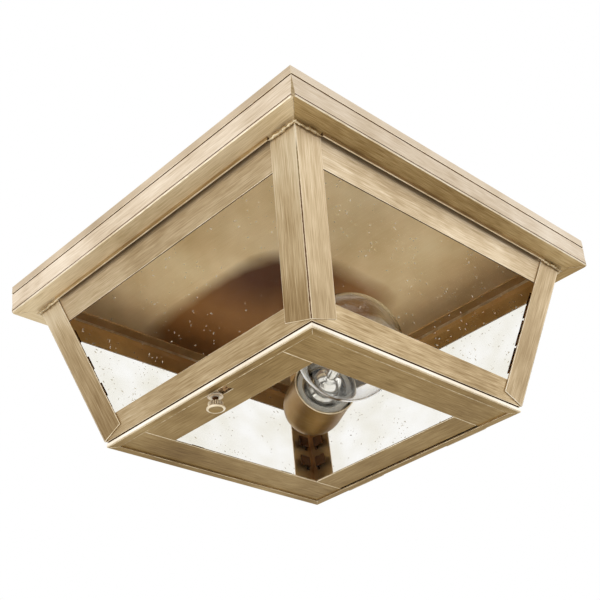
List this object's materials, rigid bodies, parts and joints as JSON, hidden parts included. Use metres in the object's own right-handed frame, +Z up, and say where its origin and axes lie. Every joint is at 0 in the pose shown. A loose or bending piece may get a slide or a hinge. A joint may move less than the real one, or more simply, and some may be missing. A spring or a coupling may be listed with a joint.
{
  "type": "porch ceiling lantern",
  "caption": "Square antique-brass porch ceiling lantern with tapered seeded-glass sides, a glazed drop door on hinges held by a thumb screw, and a clear bulb in a sideways socket.",
  "frame": {"origin": "middle of the crossbar's upper face, in the plane of the ceiling", "axes": "+Z up into the ceiling; -Y towards the thumb screw at the front; +Y towards the door's hinges; +X to the right seen from the front"},
  "size_m": [0.2414, 0.2414, 0.1161],
  "materials": {
    "antique_brass": "brushed, antique",
    "dark_brass": "dark patina",
    "seeded_glass": "clear, seeded",
    "clear_glass": "clear",
    "porcelain": "glazed",
    "zinc_steel": "zinc plated",
    "bulb_metal": "rolled",
    "black_glass": "opaque",
    "tungsten": "drawn wire",
    "ground_green": "dyed green"
  },
  "bodies": {
    "lantern": {"ceiling_pan": "antique_brass", "canopy_moulding_front": "antique_brass", "canopy_moulding_right": "antique_brass", "canopy_moulding_back": "antique_brass", "canopy_moulding_left": "antique_brass", "top_rail_front": "antique_brass", "top_rail_right": "antique_brass", "top_rail_back": "antique_brass", "top_rail_left": "antique_brass", "corner_post_front_right": "antique_brass", "corner_post_back_right": "antique_brass", "corner_post_back_left": "antique_brass", "corner_post_front_left": "antique_brass", "bottom_rail_front": "antique_brass", "bottom_rail_right": "antique_brass", "bottom_rail_back": "antique_brass", "bottom_rail_left": "antique_brass", "side_glass_front": "seeded_glass", "side_glass_right": "seeded_glass", "side_glass_back": "seeded_glass", "side_glass_left": "seeded_glass", "glass_clips": "dark_brass", "cage_hinge_leaf_left": "antique_brass", "cage_hinge_leaf_right": "antique_brass", "hinge_pin_left": "antique_brass", "hinge_pin_right": "antique_brass", "latch_tab": "antique_brass", "crossbar": "zinc_steel", "ground_screw": "ground_green", "middle_nipple": "zinc_steel", "spacer_nut": "zinc_steel", "lock_nut": "antique_brass", "socket_strap": "antique_brass", "socket_cup": "antique_brass", "lampholder": "porcelain", "screw_shell": "bulb_metal", "centre_contact": "antique_brass", "socket_nipple": "zinc_steel", "socket_nuts": "zinc_steel"},
    "door": {"door_rim_front": "antique_brass", "door_rim_right": "antique_brass", "door_rim_back": "antique_brass", "door_rim_left": "antique_brass", "door_strip_front": "antique_brass", "door_strip_right": "antique_brass", "door_strip_back": "antique_brass", "door_strip_left": "antique_brass", "door_glass": "clear_glass", "door_glass_clips": "dark_brass", "door_hinge_leaf_left": "antique_brass", "door_hinge_leaf_right": "antique_brass"},
    "screw_washer": {"screw_washer": "antique_brass"},
    "thumb_screw": {"thumb_screw": "antique_brass"},
    "bulb_foot": {"bulb_foot": "black_glass"},
    "bulb": {"bulb_glass": "clear_glass", "bulb_cap": "bulb_metal", "bulb_stem": "clear_glass", "filament": "tungsten"}
  },
  "joints": [
    {"name": "door_hinge", "type": "hinge", "parent": "lantern", "child": "door", "pos_m": [0, 0.0825, -0.1063], "axis": [1, 0, 0], "range_deg": [0, 95]},
    {"name": "screw_travel", "type": "slide", "parent": "door", "child": "screw_washer", "axis": [0, 0, -1], "range_m": [0, 0.005]},
    {"name": "screw_turn", "type": "hinge", "parent": "screw_washer", "child": "thumb_screw", "pos_m": [0, -0.071, -0.112], "axis": [0, 0, -1], "range_deg": [0, 2269]},
    {"name": "bulb_travel", "type": "slide", "parent": "lantern", "child": "bulb_foot", "axis": [0.8788, -0.4772, 0], "range_m": [0, 0.018]},
    {"name": "bulb_turn", "type": "hinge", "parent": "bulb_foot", "child": "bulb", "pos_m": [-0.0085, 0.022, -0.07085], "axis": [0.8788, -0.4772, 0], "range_deg": [0, 1787]}
  ],
  "couplings": [
    {"joint": "screw_turn", "follows": "screw_travel", "rad_per_m": 7915.8},
    {"joint": "bulb_turn", "follows": "bulb_travel", "rad_per_m": 1730.9}
  ]
}
